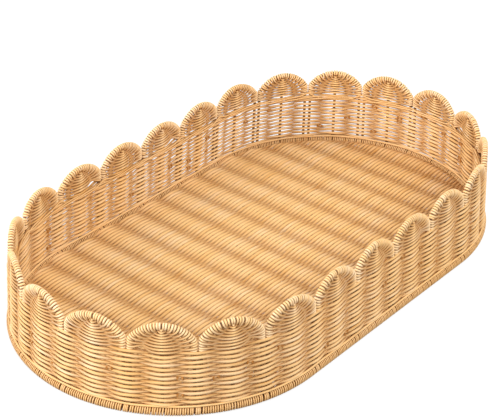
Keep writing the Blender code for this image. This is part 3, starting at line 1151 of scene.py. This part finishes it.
@dataclass
class InnerWaling(Part):
    """The band inside the wall: three cords twisted together, one of which climbs.

    One cord leaves the band at each valley, follows the scallops' lower edge up
    towards the notch and comes down again.

    Attributes:
        reach, height: place of the band's middle.
        climb, climb_length: how far the one cord climbs, and from how far off.
        twist_rods: steps between rods that one twist takes.
        swell, rise: half of the twist's thickness and of its height.
        tones: the tone of each cord.
    """

    cord_radius: float = 0.00128
    reach: float = -0.0053
    height: float = 0.0838
    climb: float = 0.0062
    climb_length: float = 0.0115
    twist_rods: int = 3
    swell: float = 0.0011
    rise: float = 0.0021
    drift: Wander = Wander(31, (13, 29), 0.0003)
    tones: tuple[float, ...] = (0.35, 0.65, 0.50)
    # Painted shade over the whole band, and more on the sides where its cords meet.
    depth: float = 0.10
    edge: float = 0.90
    stations: int = 28
    sides: int = 9
    seed: int = 500

    def build(self) -> None:
        """Make the band.

        The cords follow each other round an upright ellipse, once in a few rods.
        The climb is a bell of the distance to the nearest valley.
        """
        count = self.line.scallops * self.stations
        along = self.line.perimeter * np.arange(count) / count
        step = self.line.scallop_width
        past = np.mod(along - self.line.first_scallop, step) - step / 2
        cords = len(self.tones)
        strand = np.arange(cords)[:, None] / cords
        turn = 2 * math.pi * (along / (self.twist_rods * self.line.rod_step) + strand)
        drift = self.drift.at(along, self.line.perimeter, cords)
        height = self.height + self.rise * np.sin(turn) + drift
        height[-1] += self.climb * np.exp(-((past / self.climb_length) ** 2))
        path = self.line.point(join(along, self.reach + self.swell * np.cos(turn), height))
        tones = np.array(self.tones)[:, None]
        band = Cords(path, UP, self.cord_radius, tones, self.depth, closed=True, edge=self.edge)
        self.piece("waling_cane", self.seed, [band], Slot.CANE, "inner_waling")


@dataclass
class FloorWeave(Part):
    """The floor: cords along the basket, over one bar and under the next.

    Attributes:
        pitch: distance between two rows.
        edge_room: distance from the hoop's middle to the rows' ends.
        side_room: room that the first and last row keep beyond that.
        fade: length over which the swing dies out at a row's ends.
        widening: above 1, a row is at its widest well before it meets a bar.
        drift_period: run after which the rows' drift repeats.
        parts: how many pieces the floor comes in.
    """

    cord_radius: float = 0.00142
    swing: float = 0.0029
    pitch: float = 0.0031
    crossing_wide: float = 1.08
    float_wide: float = 1.92
    widening: float = 2.0
    crossing_painted_shade: float = 0.60
    edge: float = 0.45
    edge_room: float = 0.0046
    side_room: float = 0.0022
    fade: float = 0.012
    drift: Wander = Wander(41, (29, 53), 0.00018)
    drift_period: float = 2.0
    tones: Pair = (0.10, 0.90)
    tone_seed: int = 42
    stations: int = 190
    sides: int = 7
    parts: int = 3
    seed: int = 600

    def build(self) -> None:
        """Make the rows in a few pieces.

        A row reaches as far as the round ends let it. Its height above the bars'
        middle is the swing times a cosine with its peaks at the bars, every other
        row turned over, and fades to nothing at the row's ends.
        """
        room = self.line.hoop_end_radius - self.edge_room
        rows = int(2 * (room - self.side_room) / self.pitch) + 1
        y = (np.arange(rows) - (rows - 1) / 2) * self.pitch
        half = self.line.straight / 2 + np.sqrt(np.maximum(room**2 - y**2, 0))
        x = np.linspace(-1, 1, self.stations) * half[:, None]
        beat = np.cos(math.pi * x / self.line.bar_step + math.pi * np.arange(rows)[:, None])
        ends = np.clip((half[:, None] - np.abs(x)) / self.fade, 0, 1)
        near_bar = np.abs(beat) * ends
        drift = self.drift.at(x[rows // 2], self.drift_period, rows)
        path = join(x, y[:, None] + drift, self.line.hoop_height + self.swing * beat * ends)
        tones = np.random.default_rng(self.tone_seed).uniform(*self.tones, (rows, 1))
        spread = np.minimum(1, self.widening * near_bar)
        wide = between(self.crossing_wide, self.float_wide, spread)
        # Painted shade where the rows cross between the bars, none where they float over one.
        depth = self.crossing_painted_shade * (1 - near_bar)
        for number, part in enumerate(np.array_split(np.arange(rows), self.parts)):
            numbers = self.cord_radius, tones[part], depth[part]
            cords = Cords(path[part], OUTWARD, *numbers, wide=wide[part], edge=self.edge)
            name = f"floor_cane_{number + 1}"
            self.piece(name, self.seed + number, [cords], Slot.CANE, "floor_weave")


@dataclass
class BaseWrap(Part):
    """The cord wound on the base hoop, opened out where each rod stands.

    Attributes:
        wind_radius: radius of the turns' middle line.
        window: half of the open run at a rod, which one turn crosses.
        pitch_change: how the turns wander along the hoop.
        tone: the middle tone.
        tone_change: how the tone wanders.
        long_turns: turns between a stake's window and a leg's.
        short_turns: turns between the windows of two neighbouring legs.
        stations: points of one turn.
    """

    cord_radius: float = 0.00122
    wind_radius: float = 0.00496
    wide: float = 1.12
    # Painted shade on the sides of the turns where they meet, and a little over the whole winding.
    edge: float = 2.20
    depth: float = 0.14
    window: float = 0.0020
    pitch_change: Wander = Wander(52, (101, 237, 409), 0.00028)
    tone: float = 0.38
    tone_change: Wander = Wander(51, (61, 97, 211), 0.28)
    long_turns: int = 12
    short_turns: int = 2
    stations: int = 14
    sides: int = 7
    seed: int = 700

    def marks(self) -> tuple[Array, Array]:
        """Return where the pitch of the winding changes within one scallop's width.

        The rods there are the stake, its own arch's leg, the next arch's leg and
        the next stake. Each window takes one turn, half of it on each side of the
        rod.

        Returns:
            the runs from the stake, and the turns wound by then.
        """
        step, leg = self.line.scallop_width, self.line.leg_reach
        rods = np.array([0.0, leg, step - leg, step])
        turns = np.array([self.long_turns, self.short_turns, self.long_turns]) + 1
        wound = np.concatenate([[0], np.cumsum(turns)])
        sides = np.array([-1.0, 0.0, 1.0])
        run = (rods[:, None] + self.window * sides).ravel()[1:-1]
        return run, (wound[:, None] + 0.5 * sides).ravel()[1:-1]

    def build(self) -> None:
        """Make the winding as one closed cord.

        The stations lie evenly along the turns, and the run along the hoop at
        each is read back from the marks. The turns are lowest at the rods.
        """
        run, wound_by = self.marks()
        per_scallop = wound_by[-1]
        total = self.line.scallops * per_scallop
        count = int(total * self.stations)
        wound = total * np.arange(count) / count
        whole = np.floor(wound / per_scallop)
        past = np.interp(wound - whole * per_scallop, wound_by, run)
        past = past + self.pitch_change.at(wound, total, 1)[0]
        turn = 2 * math.pi * wound - math.pi / 2
        outward = self.wind_radius * np.cos(turn)
        height = self.line.hoop_height + self.wind_radius * np.sin(turn)
        place = join(self.line.middle(whole) + past, outward, height)[None]
        cords = Cords(
            self.line.point(place),
            self.line.step(place, ALONG),
            self.cord_radius,
            np.clip(self.tone + self.tone_change.at(wound, total, 1), 0, 1),
            self.depth,
            closed=True,
            wide=self.wide,
            edge=self.edge,
        )
        self.piece("base_wrap_cane", self.seed, [cords], Slot.RIM, "base_wrap")


@dataclass
class FrameRods(Part):
    """The wire frame: base hoop, floor bars, and arches with their stakes.

    Attributes:
        foot: height at which the upright rods start, inside the winding.
        hoop_stations: points of the hoop for each scallop.
        tone: the attributes' value, which the paint doesn't read.
    """

    rod_radius: float = 0.0020
    hoop_radius: float = 0.0025
    bar_radius: float = 0.0018
    foot: float = 0.0090
    leg_stations: int = 12
    arch_stations: int = 33
    hoop_stations: int = 20
    bar_stations: int = 12
    sides: int = 10
    tone: float = 0.5
    base_seed: int = 900
    seed: int = 800

    def rods(self, path: Array, guide: Array, radius: float, closed: bool = False) -> Cords:
        """Return rods of one radius along their paths."""
        return Cords(path, guide, radius, self.tone, self.tone, closed=closed)

    def arch(self, number: int) -> None:
        """Make one arch, a crown on two upright legs, and its middle stake.

        Args:
            number: which one, from 0.
        """
        line = self.line
        legs, radius = line.leg_reach, line.arch_radius
        rise = np.linspace(self.foot, line.corner_height, self.leg_stations)[:-1]
        turn = np.linspace(-line.corner_turn, line.corner_turn, self.arch_stations)
        beside = np.full_like(rise, legs)
        across = np.concatenate([-beside, radius * np.sin(turn), beside])
        crown = line.crown_centre + radius * np.cos(turn)
        height = np.concatenate([rise, crown, rise[::-1]])
        stake = np.linspace(self.foot, line.crown_centre + radius, self.leg_stations)
        middle = line.middle(number)
        bundles = []
        for along, up in ((middle + across, height), (middle, stake)):
            place = join(along, 0.0, up)[None]
            guide = line.step(place, OUTWARD)
            bundles.append(self.rods(line.point(place), guide, self.rod_radius))
        name, node = f"arch_rods_{number + 1:02d}", f"arch_frame_{number + 1:02d}"
        self.piece(name, self.seed + number, bundles, Slot.WIRE, node)

    def base(self) -> None:
        """Make the hoop, and the bars that reach across it to its middle line."""
        line = self.line
        count = self.hoop_stations * line.scallops
        along = line.perimeter * np.arange(count) / count
        round_path = line.point(join(along, 0.0, line.hoop_height)[None])
        hoop = self.rods(round_path, UP, self.hoop_radius, closed=True)
        x = (np.arange(line.bars) - (line.bars - 1) / 2) * line.bar_step
        beyond = np.maximum(0, np.abs(x) - line.straight / 2)
        half = np.sqrt(line.hoop_end_radius**2 - beyond**2)
        y = half[:, None] * np.linspace(-1, 1, self.bar_stations)
        bars = self.rods(join(x[:, None], y, line.hoop_height), UP, self.bar_radius)
        self.piece("base_rods", self.base_seed, [hoop, bars], Slot.WIRE, "base_frame")

    def build(self) -> None:
        """Make the base and every arch."""
        self.base()
        for number in range(self.line.scallops):
            self.arch(number)


@dataclass(frozen=True)
class Lamp:
    """A square soft lamp: where it hangs, its size and its power."""

    name: str
    place: tuple[float, float, float]
    size: float
    power: float


@dataclass(frozen=True)
class Studio:
    """The floor, the light and the camera at the photograph's angle.

    Attributes:
        azimuth, elevation, roll: how the camera is turned, in radians.
        distance: how far it is from the origin, before its two shifts.
        lens: its focal length in millimetres.
        aim_height: height of the point that the lamps face.
        floor_paint: grey of the floor for the light that it gives the basket.
        shown_paint, shown_glow: its grey and its glow where it is seen.
    """

    azimuth: float = -0.8956
    elevation: float = 0.53027
    distance: float = 2.15556
    shift_right: float = -0.0210
    shift_up: float = 0.0708
    roll: float = 0.01637
    lens: float = 115.141
    clip: Pair = (0.1, 100.0)
    floor_size: float = 12.0
    aim_height: float = 0.05
    ambient: float = 0.76
    floor_paint: float = 0.20
    shown_paint: float = 0.26
    shown_glow: float = 0.76
    lamps: tuple[Lamp, ...] = (
        Lamp("key", (-1.1, -2.3, 2.3), 1.6, 63.0),
        Lamp("fill", (1.9, -1.6, 1.8), 2.0, 29.0),
        Lamp("side", (-2.4, 1.1, 1.0), 1.2, 66.0),
    )

    def camera(self) -> None:
        """Place the camera: back from the origin along the view, then sideways."""
        cos_e, sin_e = math.cos(self.elevation), math.sin(self.elevation)
        cos_a, sin_a = math.cos(self.azimuth), math.sin(self.azimuth)
        back = Vector((sin_a * cos_e, -cos_a * cos_e, sin_e))
        right = Vector((cos_a, sin_a, 0.0))
        up = back.cross(right)
        turned_right = math.cos(self.roll) * right + math.sin(self.roll) * up
        turned_up = math.cos(self.roll) * up - math.sin(self.roll) * right
        place = back * self.distance + turned_right * self.shift_right + turned_up * self.shift_up
        view = Matrix((turned_right, turned_up, back)).transposed().to_4x4()
        data = bpy.data.cameras.new("camera")
        data.lens = self.lens
        data.clip_start, data.clip_end = self.clip
        camera = shown("camera", data)
        camera.matrix_world = Matrix.Translation(place) @ view
        bpy.context.scene.camera = camera

    def hang(self, lamp: Lamp) -> None:
        """Hang one lamp, turned towards the basket.

        Args:
            lamp: which one.
        """
        data = bpy.data.lights.new(lamp.name, "AREA")
        data.size = lamp.size
        data.energy = lamp.power
        thing = shown(lamp.name, data)
        thing.location = lamp.place
        aim = Vector((0.0, 0.0, self.aim_height)) - Vector(lamp.place)
        thing.rotation_euler = aim.to_track_quat("-Z", "Y").to_euler()

    @staticmethod
    def part_rays(kit: Nodes, lit: bpy.types.Node, seen: bpy.types.Node, output: str) -> None:
        """Show one shader, and light the basket with another.

        Camera, glossy and transmission rays meet the one that is seen.

        Args:
            kit: the nodes that are laid out.
            lit: the shader for the other rays.
            seen: the shader that is seen.
            output: name of the output node that takes both.
        """
        path = kit.add("ShaderNodeLightPath", {})
        ray = path.outputs["Is Camera Ray"]
        for name in ("Is Glossy Ray", "Is Transmission Ray"):
            inputs = {0: ray, 1: path.outputs[name]}
            ray = kit.add("ShaderNodeMath", inputs, operation="MAXIMUM").outputs[0]
        inputs = {"Fac": ray, 1: lit.outputs[0], 2: seen.outputs[0]}
        both = kit.add("ShaderNodeMixShader", inputs)
        kit.fill(kit.tree.nodes[output], {"Surface": both.outputs[0]})

    def world(self) -> None:
        """Light the scene evenly, and show white to the camera and in gloss."""
        kit = Nodes(bpy.data.worlds.new("studio"))
        white = (1.0, 1.0, 1.0, 1.0)
        even = {"Color": white, "Strength": self.ambient}
        lit = kit.fill(kit.tree.nodes["Background"], even)
        seen = kit.add("ShaderNodeBackground", {"Color": white, "Strength": 1.0})
        self.part_rays(kit, lit, seen, "World Output")
        bpy.context.scene.world = kit.owner

    def floor_material(self) -> bpy.types.Material:
        """Make white paint that looks nearly as white as the background behind it.

        Returns:
            the new material.
        """
        kit = Nodes(bpy.data.materials.new("white_floor"))
        kit.tree.nodes.remove(kit.tree.nodes["Principled BSDF"])
        lit, paint = (
            kit.add("ShaderNodeBsdfDiffuse", {"Color": (grey, grey, grey, 1.0)})
            for grey in (self.floor_paint, self.shown_paint)
        )
        glow = kit.add("ShaderNodeEmission", {"Strength": self.shown_glow})
        seen = kit.add("ShaderNodeAddShader", {0: paint.outputs[0], 1: glow.outputs[0]})
        self.part_rays(kit, lit, seen, "Material Output")
        return kit.owner

    def floor(self) -> None:
        """Lay a white floor that shows the basket's shadow."""
        half = self.floor_size / 2
        points = [(-half, -half, 0), (half, -half, 0), (half, half, 0), (-half, half, 0)]
        mesh = bpy.data.meshes.new("floor")
        mesh.from_pydata(points, [], [(0, 1, 2, 3)])
        mesh.materials.append(self.floor_material())
        plane = shown("floor", mesh)

    def build(self) -> None:
        """Set the view and build everything round the basket."""
        bpy.context.scene.view_settings.view_transform = "Standard"
        self.world()
        self.floor()
        for lamp in self.lamps:
            self.hang(lamp)
        self.camera()


def main() -> None:
    """Build every piece of the basket in order, then the studio."""
    logging.basicConfig(level=logging.INFO, format="%(name)s: %(message)s")
    line = WallLine()
    dresser = Dresser({slot: finish.material() for slot, finish in FINISHES.items()})
    for part in (FrameRods, BaseWrap, FloorWeave, WallWeave, InnerWaling, ScallopWeave):
        part(line, dresser).build()
    Studio().build()


if __name__ == "__main__":
    main()
